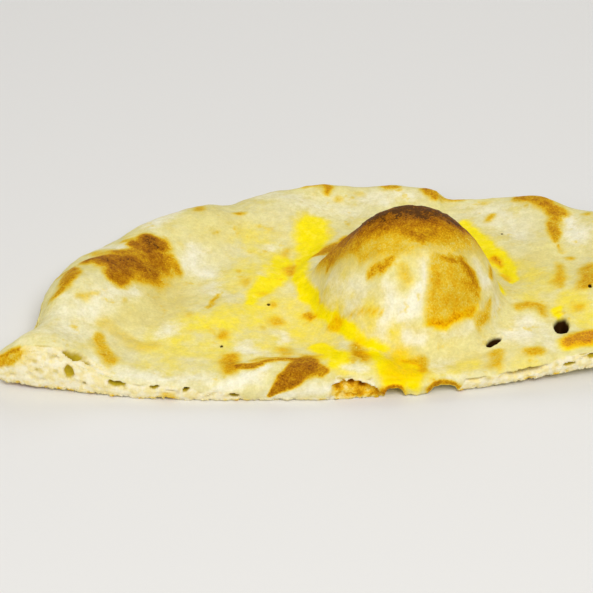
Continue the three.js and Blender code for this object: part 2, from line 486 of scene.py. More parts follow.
def shape_cut(bread):
    """Opens the crumb, tears the pocket and the lower edge, and rounds the skin over."""
    on_face = step(bread.on_cut, 0.55, 0.95)
    bubbles = open_bubbles(bread) * np.maximum(on_face, bread.torn_top)
    slits = lip_slits(bread) * on_face
    pocket = torn_pocket(bread) * on_face
    layered = bread.start * (0.35, 1, 1)
    grain = 0.20 * drift(layered, 1.6, 22) + 0.13 * drift(layered, 0.8, 23)
    grain += 0.10 * drift(bread.start, 0.7, 24)
    inward = np.maximum.reduce([bubbles, slits, pocket])
    inward += grain * on_face * (0.15 + 0.85 * bread.bare)
    bread.move(inward * on_face, (0, 1, 0))
    torn_in = (0.35 + bubbles + 1.4 * grain) * bread.torn_top
    bread.move(-torn_in * (1 - on_face))
    # The skin's edge is rounded over, draws back above the torn pocket, and wanders a little.
    away = np.abs(bread.from_edge)
    rolled = np.clip(rolled_skin(bread.x), 0, 1)
    fillet = (0.25 + 0.85 * rolled) * np.clip(1 - away / (1.4 + 1.8 * rolled), 0, 1) ** 2
    fillet *= step(bread.behind, 5.0, 3.0)
    bread.move(fillet, (0, 0.7, -0.7))
    near = np.exp(-((away / 2.6) ** 2)) * (bread.on_top + on_face > 0)
    from_pocket = bread.x - TORN_POCKET["x"]
    drawn = (1.8 - 0.13 * from_pocket) * step(np.abs(from_pocket), 9.0, 5.0)
    along = bread.start * (1, 0, 0)
    wander = 0.4 * drift(along, 5.0, 25) + 0.25 * drift(along, 1.8, 26)
    bread.move(near * (drawn + wander * (1 - 0.7 * rolled)), (0, 1, 0))
    # The lower edge is ragged.
    low = np.exp(-((bread.up / 1.1) ** 2)) * step(bread.behind, 3.0, 0.0)
    flat = bread.start * (1, 1, 0)
    ragged = drift(flat, 2.4, 27) + 0.8 * drift(flat, 0.9, 28)
    bread.move(low * (0.45 * ragged), (0, 1, 0))
    bread.move(low * np.maximum(ragged, 0) * 0.45, (0, 0, 1))
    # The depths given back also set the painted shade in the crumb.
    return np.maximum(bubbles, 0.35 * slits), pocket


def lift_arches(bread):
    """Lifts the lower crust into small arches along the cut."""
    rise = np.zeros(len(bread.x))
    for middle, half, height in ARCHES:
        uneven = 1 + 0.18 * drift(bread.start * (1, 0, 0), 1.4, 29)
        across = np.clip(1 - (np.abs(bread.x - middle) / half * uneven) ** 2, 0, 1)
        rise = np.maximum(rise, height * np.sqrt(across))
    depth = np.sqrt(np.clip(1 - (np.maximum(bread.behind, 0) / 7.0) ** 2, 0, 1))
    lower = np.where(bread.on_cut > 0, 1 - bread.share, bread.below * depth)
    bread.move(rise * lower, (0, 0, 1))
    return rise


def sink_holes(bread):
    """Steam holes with a steep wall and a slightly raised lip, and where painted shade darkens their
    inside.
    """
    hole_shade_mask = np.zeros(len(bread.x))
    sink = np.zeros(len(bread.x))
    uneven = 1 + 0.08 * drift(bread.start, 1.5, 41)
    for x, y, along, across, turn, deep, lip in HOLES + PINHOLES:
        away = radial(bread.x, bread.y, x, y, along, across, turn) * uneven
        sink += deep * step(away, 1.0, 0.55) * bread.on_top
        sink -= lip * np.exp(-(((away - 1.2) / 0.22) ** 2)) * bread.on_top
        # Painted shade darkens the inside of each hole.
        hole_shade_mask = np.maximum(hole_shade_mask, step(away, 1.02, 0.72) * bread.on_top)
    bread.move(-sink, (0, 0, 1))
    return hole_shade_mask


def press_furrows(bread):
    """Folds and creases of the crust."""
    depth = np.zeros(len(bread.x))
    plan = np.stack([bread.x, bread.y], axis=1)
    wander = 0.8 * drift(bread.start, 6.0, 43)
    for start, end, half, deep in FURROWS:
        start, end = np.array(start), np.array(end)
        run = end - start
        along = np.clip(((plan - start) @ run) / (run @ run), 0, 1)
        away = np.linalg.norm(plan - start - along[:, None] * run, axis=1) + wander
        depth = np.maximum(depth, deep * np.exp(-((away / half) ** 2)) * bread.on_top)
    bread.move(-depth, (0, 0, 1))


# Soft pushes that make the rim and the blister uneven: place, half-widths, and the way they move.
PUSHES = [
    (-19, 11, 6, 9, (-1, 0, 2.4)),
    (-22, -2, 8, 12, (-3.2, 1.4, 1.8)),
    (8, -17, 22, 20, (0, 0, 0.8)),
    (-89, 13, 13, 11, (0.9, -1.3, -0.4)),
    (-52, 42, 6, 8, (0, -2.4, -0.2)),
    (-6, 59, 15, 8, (0, 1.2, 0.6)),
    (96, 8, 6, 6, (-1.2, -1, -0.3)),
    (108, -24, 5, 5, (0.8, 0.4, 0.3)),
]

# Where one fold of the rim ends in a small step.
RIM_STEP = {"x": 22.4, "y": 52.0, "wide": 9.0, "deep": 9.0, "drop": 2.2, "sharp": 0.9}


def push_about(bread):
    """Dents and swells the rim and the blister."""
    for x, y, wide, deep, way in PUSHES:
        away = np.hypot((bread.x - x) / wide, (bread.y - y) / deep)
        bread.move(step(away, 1.4, 0.2) * (1 - bread.below), way)
    fold = RIM_STEP
    past = bread.x - fold["x"] - 0.5 * drift(bread.start, 3.0, 45)
    beyond = step(past, -fold["sharp"], fold["sharp"]) - 0.5
    near = step(np.abs(bread.x - fold["x"]), fold["wide"], 1.0)
    near *= step(np.abs(bread.y - fold["y"]), fold["deep"], 2.0) * bread.on_top
    bread.move(-fold["drop"] * beyond * near, (0, 0, 1))


def raise_skin(bread, toast):
    """Uneven skin: soft dimples, fine wrinkles, and toasted places that puffed up a little."""
    free = (1 - bread.on_cut) * (1 - 0.75 * bread.below)
    amount = 0.42 * drift(bread.start, 11.0, 51)
    amount += 0.24 * drift(bread.start, 5.5, 52)
    amount += 0.10 * drift(bread.start, 2.4, 53)
    amount += 0.05 * drift(bread.start, 1.2, 54)
    wrinkled = 0.10 * drift(bread.start * (1, 1, 2.5), 1.5, 55) * bread.on_blister
    crackled = 0.30 * drift(bread.start, 3.4, 57) + 0.20 * drift(bread.start, 1.5, 58)
    wrinkled += crackled * bread.on_blister * toast
    puffed = 0.35 * toast * (1 - bread.on_blister)
    under = 0.10 * drift(bread.start, 6.0, 56) * bread.below
    flat = bread.z < FLAT_UNDER
    amount = (amount + wrinkled + puffed) * free + np.where(flat, 0, under)
    bread.move(amount)
    bread.points[:, 2] = np.maximum(bread.points[:, 2], 0)


# ----------------------------------------------------------
# The bake, painted as strokes. Each has a strength and a bent line of (x, y, half-width).

TOAST = [
    # left rim
    (0.88, [(-81.5, 12, 3.8), (-78.5, 9.5, 5)]),
    (0.76, [(-86.5, 9.5, 2.2), (-83.5, 6, 2.8), (-80, 5, 3)]),
    (0.7, [(-77.5, 5.5, 4.6), (-77, 0, 5), (-80, -6, 5.4)]),
    (0.5, [(-74, 5, 3.2), (-71, 1.5, 2.2)]),
    (0.6, [(-90, 0, 2.8), (-84, 1.5, 4.2), (-78, 2, 4)]),
    (0.5, [(-84, -9, 6), (-78, -8, 4.6)]),
    (0.77, [(-84, -5, 5.4), (-91, -8, 6.2), (-97, -8, 3.8)]),
    (0.72, [(-88, -13, 5.8), (-89.5, -18, 2.8)]),
    (0.86, [(-92.4, -8, 1.6), (-90, -16, 1.2)]),
    (0.4, [(-89.5, 12, 1.6), (-86, 11.5, 2)]),
    (0.55, [(-104.5, -11.5, 1.6), (-103.5, -17, 3), (-105, -23, 2.4)]),
    (0.5, [(-105, -23, 2.4), (-108.5, -29, 1)]),
    (0.32, [(-112, -9, 1.4), (-107, -12, 1.4)]),
    (0.28, [(-99, 2, 1.8), (-94, -1, 3.4)]),
    (0.24, [(-99.5, -30.5, 1.4), (-94.5, -27, 0.9)]),
    (0.16, [(-91, -38, 3), (-84, -42.5, 2.2), (-80, -46, 2.4), (-75, -44, 2)]),
    (0.38, [(-92.8, -46, 2), (-91.2, -50.5, 2.6), (-88.8, -55.5, 2.4)]),
    (0.8, [(-91.2, -53.2, 0.7)]),
    (0.24, [(-75, -13.5, 0.8)]),
    (0.26, [(-86, -25.6, 0.8)]),
    (0.2, [(-65, -26.3, 1.8)]),
    # back rim
    (0.34, [(-64.3, 37.5, 2.2), (-63.8, 34.5, 1.8)]),
    (0.42, [(-49.9, 36.6, 2)]),
    (0.32, [(-26, 58.2, 1.6), (-21, 57.6, 1.8)]),
    (0.48, [(-18.6, 57.2, 2.4), (-18.8, 54, 1.6)]),
    (0.3, [(-13.6, 50.6, 1.4)]),
    (0.18, [(-6.4, 54.9, 1.8)]),
    (0.52, [(2.8, 58, 1.8), (6.6, 57.4, 1.8)]),
    (0.58, [(18.2, 56, 2.4), (20.5, 51.5, 2)]),
    (0.34, [(24, 54.4, 2), (29, 52.6, 1.6)]),
    (0.2, [(38.4, 47.7, 1.8)]),
    (0.38, [(38.7, 35, 1.3), (39.8, 38.6, 1.3)]),
    # right rim
    (0.58, [(50.7, 46.6, 2), (55.7, 43.6, 3.2), (60.4, 38, 3.6), (62.8, 33.4, 3.2)]),
    (0.5, [(62, 31, 2.8), (60.4, 23, 2.2), (60, 18.6, 1.2)]),
    (0.4, [(60.8, 16, 0.4), (61.8, 12.5, 0.4)]),
    (0.36, [(64.3, 7.7, 1.4)]),
    (0.34, [(60.2, 3, 1.4), (60.4, -3, 1.3), (58.6, -9, 2), (58, -12.5, 1.4)]),
    (0.4, [(69, -1, 2.8), (68.5, -8, 3.4), (66.5, -15, 2.6)]),
    (0.36, [(72.9, 32, 1.6)]),
    (0.38, [(43.5, -22.5, 1.6), (47.5, -21.8, 2), (51, -24.5, 1.8), (51.6, -27.5, 1)]),
    (0.28, [(62.9, -26.6, 2.2)]),
    (0.62, [(57.5, -46, 2.6), (62, -44, 3.8), (69, -42.4, 3.6)]),
    (0.4, [(44.6, -50.2, 2.2), (47.6, -50.4, 2.2)]),
    (0.34, [(34.5, -49.5, 2.2), (33.6, -55.2, 2.4)]),
    (0.42, [(-10, -46, 2.4), (-9.4, -51, 3), (-8.2, -55.5, 1.8)]),
    (0.4, [(5.6, -53, 1.7), (9.6, -51.8, 2.3), (10.4, -57, 1.6)]),
    (0.2, [(3.5, -50.3, 4), (1.4, -61.4, 4), (8, -58.3, 4)]),
    (0.5, [(38, 11, 1.1), (40.5, 7, 0.9)]),
    (0.36, [(41, 1, 0.8), (42.5, -3, 1)]),
    (0.56, [(-21, 10, 1.6), (-18, 15.5, 2.4), (-14, 22, 2.2), (-12, 25.5, 1.2)]),
    (0.44, [(-18.5, -33.5, 0.9), (-16, -36, 0.9)]),
    # right end
    (0.6, [(88, 17, 3), (93, 9, 4.6), (97, 2, 3)]),
    (0.78, [(91, 13, 2.2), (94.5, 7, 2.4)]),
    (0.66, [(102, -12, 3), (106, -19, 4), (109, -27, 3)]),
    (0.44, [(84, -9, 2.6)]),
    (0.4, [(78, 24, 1.6), (81, 20, 1.8)]),
    (0.46, [(93, -33, 2.6), (98, -35, 2.4)]),
    (0.42, [(80, -39, 2.4), (84, -40, 1.6)]),
    (0.58, [(112, -37, 2.6), (119, -42, 3)]),
    (0.3, [(88, -22, 1.8)]),
    (0.34, [(74, -24, 1.4), (76, -28, 1.6)]),
    # front edge
    (0.44, [(-50.4, -50, 2.8), (-51.2, -55, 3.2), (-49.8, -59.4, 2.8)]),
    (0.34, [(-42, -54, 1.6), (-34, -52.4, 1.8)]),
    (0.28, [(-33, -45.6, 2.4), (-32.6, -49, 2)]),
    (0.46, [(-27, -51.6, 2.4), (-25, -53, 3)]),
    (0.62, [(-2, -67.6, 1.4), (3.4, -67.4, 1.4)]),
    (0.66, [(12.5, -65.8, 1.2), (16.6, -64, 1.6), (21, -64.6, 1.2)]),
    (0.4, [(-53.6, -37.5, 2.1)]),
    (0.38, [(-36.4, -27.5, 2.6)]),
    (0.3, [(-40.5, -32.2, 1)]),
    (0.38, [(-31.2, 6, 2.4), (-31, 1.5, 2.4)]),
    (0.24, [(-33, 19, 1.3), (-33.4, 15, 1.2)]),
    (0.52, [(-26.4, -24, 1.2), (-24, -26.6, 1.2)]),
    (0.54, [(-58.4, -22.6, 0.6), (-57, -19.4, 0.7), (-55.2, -13.5, 0.3)]),
    (0.28, [(-47.2, -6.5, 1.3), (-46.2, -3.6, 1.4)]),
    (0.32, [(-37.6, -18.4, 1.7)]),
    (0.22, [(-41, -12.5, 1.6)]),
    (0.4, [(-130, -60, 3.4), (-121, -60, 3), (-114, -59, 1.4)]),
    (0.62, [(-122, -57.6, 0.8), (-116.5, -57, 0.6)]),
]

# Browned places with a crisp outline, along folds of the skin.
CRISP_TOAST = [
    (0.74, [(-38.2, -70.4, 0.7), (-34.9, -66.9, 2.3), (-30.6, -63.4, 3.8), (-27.4, -59.6, 4.8)]),
    (0.72, [(-27.4, -59.6, 4.8), (-26.2, -56.4, 4.2), (-27.2, -54.8, 2.8)]),
    (0.56, [(-27, -60, 4), (-22.6, -60.2, 2.9), (-20.2, -60.4, 1.4)]),
    (0.66, [(-47.6, -57.4, 1.6), (-43.2, -58.2, 1.7), (-40.4, -57.4, 1)]),
    (0.6, [(-44, -57.6, 1.2), (-39, -56.2, 0.8), (-34.5, -55, 0.8), (-29, -54.4, 1.8)]),
]

BUTTER = [
    (1, [(-23.5, 33, 6), (-24.5, 20, 5.4), (-26, 8, 4.6), (-26, -4, 4.2)]),
    (1, [(-26, -4, 4.2), (-25.5, -14, 3), (-21, -26, 2.6), (-15.5, -36, 2.2)]),
    (0.9, [(-15.5, -36, 2.2), (-11, -41.5, 1.8), (-2, -48, 1.6)]),
    (0.84, [(-34, 11, 4), (-36.5, 4, 5.6), (-38, -4, 5)]),
    (0.84, [(-38, -4, 5), (-43, -12, 3.4), (-44.6, -18, 2.2)]),
    (0.46, [(-34, -20, 8), (-24, -36, 9)]),
    (0.5, [(-66, -32, 5), (-52, -30, 8), (-42, -24, 10)]),
    (0.38, [(-74, -44, 8), (-56, -44, 9), (-38, -42, 8)]),
    (0.26, [(-74, -56, 5), (-58, -56, 6)]),
    (0.3, [(-44, 24, 7), (-40, 12, 8), (-50, -4, 8)]),
    (0.96, [(-22, -44, 3.6), (-17.5, -51, 4.6), (-16, -57, 3.6)]),
    (0.84, [(-5, -50, 3.4), (-1, -58, 4.6), (2, -64, 4.2)]),
    (0.88, [(4, -52, 4.6), (7.5, -58.5, 4.4), (7, -62.5, 3.4)]),
    (0.9, [(57, -47, 3.4), (68, -43, 4.2)]),
    (0.38, [(-14, -62, 3), (16, -58, 5), (26, -54, 4)]),
    (1, [(30, 34, 2.4), (33, 27, 3.2), (36, 18, 4), (40, 11, 4.2)]),
    (1, [(40, 11, 4.2), (43, 3, 3.4), (44.2, -4, 1.8)]),
    (1, [(56.6, -28.4, 1.8), (56.4, -25.4, 1.8)]),
    (0.34, [(46, 4, 6), (54, -6, 8), (50, -16, 6)]),
    (0.44, [(62, -20, 6), (64, -32, 6)]),
    (0.3, [(36, -58, 3), (44, -55, 3)]),
    (0.5, [(80, 4, 7), (88, -8, 9), (84, -22, 6)]),
    (0.8, [(84, -2, 3), (86, -12, 3.4)]),
    (0.34, [(100, -30, 6), (84, -34, 6)]),
]

FLOUR = [
    (0.5, [(14.5, -57.5, 2.4), (18.5, -60, 2.6), (23, -59, 2)]),
    (0.42, [(-106, -34, 6), (-103, -44, 9), (-112, -50, 6)]),
    (0.62, [(-97, -36, 6), (-93, -28, 4), (-84, -20, 3)]),
    (0.66, [(-96, 8, 3), (-89, 6, 3)]),
    (0.72, [(-80, 24, 4), (-72, 34, 3.6)]),
    (0.8, [(-64, 12, 3.6), (-66, 5, 4.4), (-60, 3, 3.6)]),
    (0.56, [(-58, -6, 4), (-57, -12, 3)]),
    (0.56, [(-39, 18, 3)]),
    (0.44, [(-42, 1, 2.4)]),
    (0.6, [(-73, -38, 2.6), (-70, -34, 3)]),
    (0.6, [(-34, -34, 2.4), (-34, -40, 2.2)]),
    (0.74, [(-47, -45, 4), (-42, -48.5, 3.4)]),
    (0.5, [(-40, 52, 5), (-28, 46, 6), (-12, 46, 7)]),
    (0.64, [(-4, 52, 4), (12, 52, 3)]),
    (0.5, [(34, 46, 5), (44, 36, 7), (48, 24, 5)]),
    (0.8, [(66, 30, 3), (68, 18, 4)]),
    (0.84, [(45, -31, 3.6), (44, -40, 5), (38, -38, 3)]),
    (0.5, [(50, -34, 3), (52, -48, 3)]),
    (0.62, [(-92, -60, 3), (-76, -62.5, 2.6), (-56, -63.5, 2.6)]),
    (0.92, [(-38.5, -59.5, 1.6), (-42.5, -62.5, 2.8), (-48, -65, 2.6), (-56, -68, 2)]),
    (0.8, [(-18, -65.5, 1.6), (-27, -69.5, 2.2), (-38, -71, 1.8)]),
    (0.7, [(-14, -59.5, 1.6), (-8, -60.5, 1.6)]),
    (0.54, [(14, -55, 2.6), (18, -52, 2.6)]),
    (0.6, [(112, -30, 4), (100, -24, 4), (96, -14, 4)]),
    (0.6, [(76, -46, 4), (96, -44, 4)]),
]

# Thin places where the crust looks glassy and darker.
GLASSY = [
    (0.8, [(-77, -14, 4), (-74, -20, 6), (-69, -14, 4.6), (-70, -4, 3)]),
    (0.6, [(-82, -32, 5), (-76, -30, 6), (-70, -26, 4)]),
    (0.2, [(-64, 26, 5), (-60, 20, 5), (-54, 24, 5)]),
    (0.34, [(-62, 36, 5), (-50, 28, 5)]),
    (0.36, [(-86, -46, 3), (-70, -50, 4)]),
    (0.3, [(-40, -36, 3), (-42, -24, 3)]),
    (0.5, [(48, 4, 4), (54, 10, 4)]),
    (0.4, [(62, -30, 3), (64, -22, 3)]),
    (0.36, [(36, 44, 2), (40, 26, 2)]),
    (0.4, [(20, -53, 4), (28, -52, 4)]),
    (0.4, [(76, 16, 5), (86, 4, 4)]),
]

# The same on the blister, measured from its top along its wall.
BLISTER_TOAST = [
    (0.48, [(-36, 6, 4), (-32, 4, 6), (-27, 6, 12)]),
    (0.58, [(-24, 12, 12), (-33, 14, 9)]),
    (0.56, [(-22, 2, 3), (-28, 1, 2.4), (-33, 3, 1.6)]),
    (0.6, [(-26, 8, 12), (-14, 8, 19), (5, 8, 22)]),
    (0.6, [(-39, 4, 1), (-36, 5, 1.6), (-30, 8, 2.4)]),
    (0.56, [(5, 8, 22), (17, 14, 16)]),
    (0.82, [(-19, 12, 15), (-8, 8, 17.5), (5, 9, 19), (13, 14, 15)]),
    (1, [(-13, 13, 17), (0, 10, 17.4), (11, 13, 17)]),
    (1, [(-7, 8, 5), (-5, 1, 3.4)]),
    (0.62, [(-2, -9, 3), (4, -10.5, 3), (8, -8, 2.4)]),
    (0.3, [(-20, -12, 2.2), (-13, -14, 4), (-3, -15, 2.6)]),
    (0.42, [(-21, -8, 1.8), (-19.5, -13.5, 1.6)]),
    (0.54, [(-17, -20.5, 1.8), (-13, -21, 2.2), (-8, -18, 1.2)]),
    (0.24, [(-4, -22, 2.4), (-3.8, -26, 2.4)]),
    (0.36, [(9.5, -19, 3.2), (9.5, -36, 4.4)]),
    (0.3, [(30, -30, 2.2), (33, -33, 1.6)]),
    (0.34, [(16, -20, 6), (17, -30, 7.5), (25, -24, 6)]),
    (0.62, [(12, -17.6, 1.6), (19, -15, 2), (24, -18.6, 2.8), (28.5, -20.5, 1.6)]),
    (0.5, [(22, -22, 3), (28, -23.5, 2.6)]),
    (0.48, [(6.5, -39, 1.6), (13, -38.4, 1.8), (21, -34.4, 1.8), (28.5, -29, 1.4)]),
    (0.4, [(37, -18, 1), (36.5, -26, 2), (32, -31, 1.6)]),
    (0.42, [(36, -3, 1.8), (36, -7, 1.6)]),
    (0.3, [(-30, -30, 1.1), (-24, -31, 1.1), (-15.6, -35, 0.8)]),
    (0.4, [(-39, -25.5, 1), (-35, -29.5, 1)]),
    (0.36, [(-28, -40, 1), (-23, -43, 1)]),
]

BLISTER_BUTTER_AND_LIGHT = [
    (0.95, [(-49.5, 8, 2.4), (-48.5, -8, 2.6), (-43, -21, 2.8), (-35, -32, 2.8)]),
    (0.9, [(-35, -32, 2.8), (-24, -42.5, 2.4), (-12, -48, 1.6)]),
    (0.9, [(31, 12, 2.4), (38, 8, 3.6), (46, 6, 3), (47, 0, 1.6)]),
    (0.8, [(6.5, -39.5, 1.8), (14, -39, 2.2), (22, -35, 2.4), (30, -28, 2)]),
    (0.4, [(-22, -34, 5), (-8, -44, 4)]),
    # Painted light: pale butter that brightens the blister's shaded left flank.
    (0.36, [(-38, -8, 4), (-33, -20, 7)]),
]

BLISTER_FLOUR_AND_LIGHT = [
    (1, [(3.6, -17, 1.6), (3.4, -26, 2), (0.5, -34, 3.6), (-5, -36, 4)]),
    (0.8, [(-11, -27, 2.6), (-9, -33, 4.6), (-15, -40, 4)]),
    (0.9, [(-3, -45, 2.6), (4, -45.5, 2.6)]),
    (0.5, [(14, -43, 2.6), (24, -39, 2.6), (38, -24, 2.4)]),
    (0.8, [(27, -10, 2.6), (31, -15, 2.8), (35, -11, 3)]),
    (0.56, [(13, -12.5, 1.8), (20, -8, 2.4), (23, -3, 2.4)]),
    (0.6, [(42, -14, 3), (42, -24, 2.4)]),
    # Painted light: flour white that brightens the blister's shaded left flank.
    (0.52, [(-38, -4, 3), (-34, -16, 6), (-26, -24, 6)]),
]

BLISTER_GLASSY = [
    (0.56, [(-12, -12, 3), (-20, -15, 2.4)]),
]


def scattered(seed, count, x_reach, y_reach, largest, weakest):
    """Small patches strewn at random over an area."""
    chance = np.random.default_rng(seed)
    patches = []
    for _ in range(count):
        x = chance.uniform(-x_reach, x_reach)
        y = chance.uniform(-y_reach, y_reach)
        half = 0.6 + largest * chance.random() ** 2.5
        turn = chance.uniform(0, math.pi)
        run = half * chance.uniform(0.2, 2.0)
        strength = weakest + (1 - weakest) * 0.8 * chance.random()
        end = (x + run * math.cos(turn), y + run * math.sin(turn), 0.7 * half)
        patches.append((strength, [(x, y, half), end]))
    return patches


def paint_bake(bread):
    """Works out the bake as values that the dough material reads, with some painted light on the
    blister's shaded left flank.
    """
    shift_u = 1.3 * drift(bread.start, 6.0, 71) + 0.5 * drift(bread.start, 2.2, 72)
    shift_v = 1.3 * drift(bread.start, 6.0, 73) + 0.5 * drift(bread.start, 2.2, 74)
    flat = (bread.u + shift_u, bread.v + shift_v)
    wall = (bread.wall_x + shift_u, bread.wall_y + shift_v)
    on_wall = bread.on_blister
    spots = scattered(seed=61, count=110, x_reach=118, y_reach=62, largest=5.0, weakest=0.3)
    crust = np.where(bread.on_cut > 0, 1, bread.on_top) * (1 - on_wall)
    under = strongest(*flat, spots) * bread.below
    near = (bread.u + 0.4 * shift_u, bread.v + 0.4 * shift_v)
    toasted = np.maximum(strongest(*flat, TOAST), strongest(*near, CRISP_TOAST, 0.8))
    toast = toasted * crust + strongest(*wall, BLISTER_TOAST) * on_wall
    bake = {"toast": np.maximum(toast, under)}
    for name, plain, raised, blur in (
        ("butter_and_light", BUTTER, BLISTER_BUTTER_AND_LIGHT, 2.0),
        ("flour_and_light", FLOUR, BLISTER_FLOUR_AND_LIGHT, 2.8),
        ("glassy", GLASSY, BLISTER_GLASSY, 3.0),
    ):
        painted = strongest(*flat, plain, blur) * crust
        bake[name] = painted + strongest(*wall, raised, blur) * on_wall
    return bake


# ----------------------------------------------------------
# Materials


def srgb(red, green, blue):
    """A colour given in everyday 0 to 255 values."""
    linear = []
    for value in (red, green, blue):
        c = value / 255
        linear.append(c / 12.92 if c <= 0.04045 else ((c + 0.055) / 1.055) ** 2.4)
    return (*linear, 1.0)


def fill(tree, node, inputs):
    """Links or sets each input that is given a value."""
    for socket, value in inputs.items():
        if isinstance(value, bpy.types.NodeSocket):
            tree.links.new(value, node.inputs[socket])
        else:
            node.inputs[socket].default_value = value


def add_node(tree, kind, inputs, **settings):
    made = tree.nodes.new(kind)
    for name, value in settings.items():
        setattr(made, name, value)
    fill(tree, made, inputs)
    return made


class Paint:
    """A material and short ways to add nodes to it. Sizes are in millimetres."""

    def __init__(self, name):
        self.material = bpy.data.materials.new(name)
        self.material.use_nodes = True
        self.tree = self.material.node_tree
        self.place = self.node("ShaderNodeTexCoord", {}).outputs["Object"]

    def node(self, kind, inputs, **settings):
        return add_node(self.tree, kind, inputs, **settings)

    def finish(self, inputs):
        fill(self.tree, self.tree.nodes["Principled BSDF"], inputs)
        return self.material

    def value(self, name):
        return self.node("ShaderNodeAttribute", {}, attribute_name=name).outputs["Fac"]

    def noise(self, size, detail=2.0, rough=0.5, twist=0.0):
        inputs = {"Vector": self.place, "Scale": 1 / (size * MM)}
        inputs.update({"Detail": detail, "Roughness": rough, "Distortion": twist})
        return self.node("ShaderNodeTexNoise", inputs).outputs["Fac"]

    def math(self, operation, *values, clamp=False):
        inputs = dict(enumerate(values))
        return self.node("ShaderNodeMath", inputs, operation=operation, use_clamp=clamp).outputs[0]

    def total(self, *values):
        total = values[0]
        for value in values[1:]:
            total = self.math("ADD", total, value)
        return total

    def centred(self, value, amount):
        """A 0 to 1 value scaled to an amount, half of it below zero."""
        return self.math("MULTIPLY_ADD", value, amount, -amount / 2)

    def span(self, value, low, high, out_low=0.0, out_high=1.0):
        inputs = {"Value": value, "From Min": low, "From Max": high}
        inputs.update({"To Min": out_low, "To Max": out_high})
        return self.node("ShaderNodeMapRange", inputs, interpolation_type="SMOOTHSTEP").outputs[0]

    def mix(self, factor, first, second, blend="MIX"):
        inputs = {0: factor, 6: first, 7: second}
        return self.node("ShaderNodeMix", inputs, data_type="RGBA", blend_type=blend).outputs[2]

    def ramp(self, factor, stops):
        made = self.node("ShaderNodeValToRGB", {0: factor})
        ramp = made.color_ramp
        while len(ramp.elements) < len(stops):
            ramp.elements.new(0.5)
        for element, (position, colour) in zip(ramp.elements, stops):
            element.position = position
            element.color = colour
        return made.outputs[0]

    def bump(self, height, strength, distance, under=None):
        inputs = {"Height": height, "Strength": strength, "Distance": distance * MM}
        if under is not None:
            inputs["Normal"] = under
        return self.node("ShaderNodeBump", inputs).outputs[0]


CREAM = srgb(232, 222, 164)
CREAM_WARM = srgb(238, 226, 150)
GLASSY_DOUGH = srgb(224, 206, 122)
BUTTER_PALE = srgb(244, 224, 92)
BUTTER_YELLOW = srgb(255, 233, 0)
FLOUR_WHITE = srgb(247, 242, 216)
CRUMB_WHITE = srgb(252, 243, 208)
CRUMB_CREAM = srgb(240, 224, 160)
# Painted shade: olive and dark brown for the crumb's deeper hollows, and dark for the inside of the
# holes.
CRUMB_OLIVE_SHADE = srgb(190, 166, 40)
CRUMB_DEEP_SHADE = srgb(70, 44, 8)
HOLE_SHADE = srgb(56, 32, 8)

# What is left of the crust's own colour as it toasts, from untouched to scorched.
TOAST_TINTS = [
    (0.00, (1.00, 1.00, 1.00, 1)),
    (0.16, (0.97, 0.86, 0.44, 1)),
    (0.32, (0.93, 0.68, 0.07, 1)),
    (0.46, (0.82, 0.47, 0.010, 1)),
    (0.60, (0.64, 0.33, 0.014, 1)),
    (0.74, (0.50, 0.21, 0.006, 1)),
    (0.90, (0.34, 0.13, 0.004, 1)),
    (1.00, (0.12, 0.048, 0.004, 1)),
]


